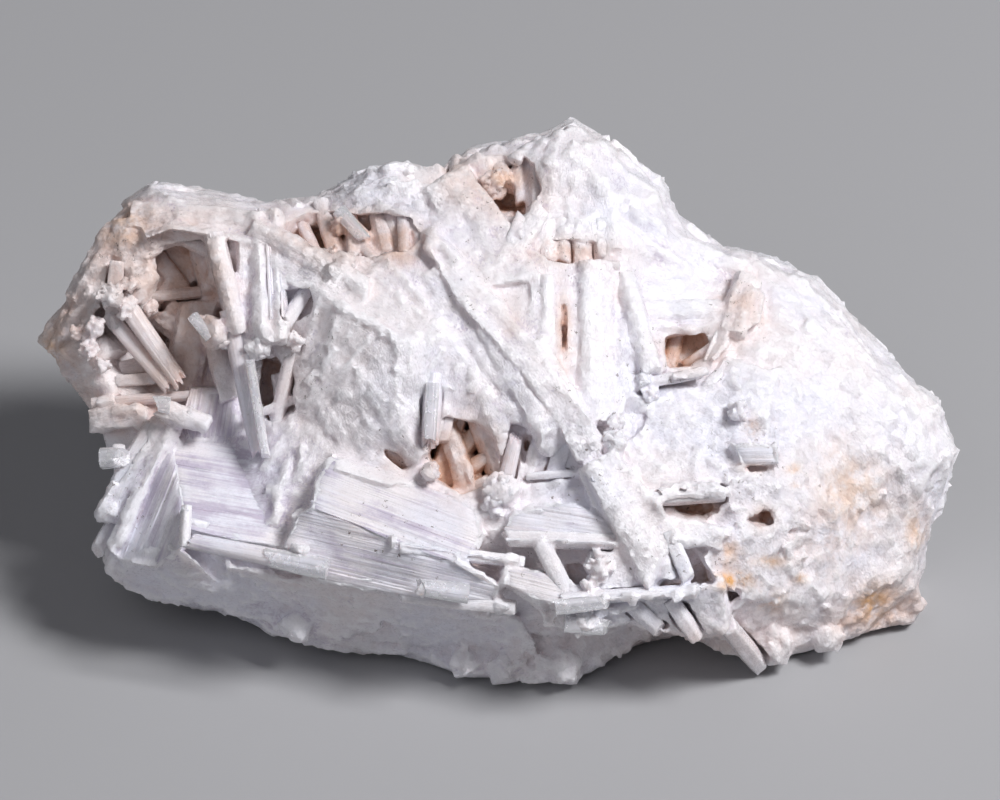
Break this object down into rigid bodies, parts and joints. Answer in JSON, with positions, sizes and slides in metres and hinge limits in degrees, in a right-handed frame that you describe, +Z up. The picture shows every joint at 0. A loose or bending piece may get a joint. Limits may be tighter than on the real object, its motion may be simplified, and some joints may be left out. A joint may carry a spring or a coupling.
{
  "type": "cancrinite crystal cluster",
  "caption": "Natural cluster of white cancrinite: prismatic and bladed crystals grown together on a massive ground, with open druse cavities and faint iron stains.",
  "frame": {"origin": "under the middle of the cluster's box, on the surface it rests on", "axes": "+X runs across the display face to the right, +Y back from it, +Z up from the resting surface"},
  "size_m": [0.1016, 0.06, 0.0465],
  "materials": {
    "white_cancrinite": "rough, milky, part clear, with glassy crystal faces and tan hollows"
  },
  "bodies": {
    "root": {"crystal_cluster": "white_cancrinite"}
  },
  "joints": []
}
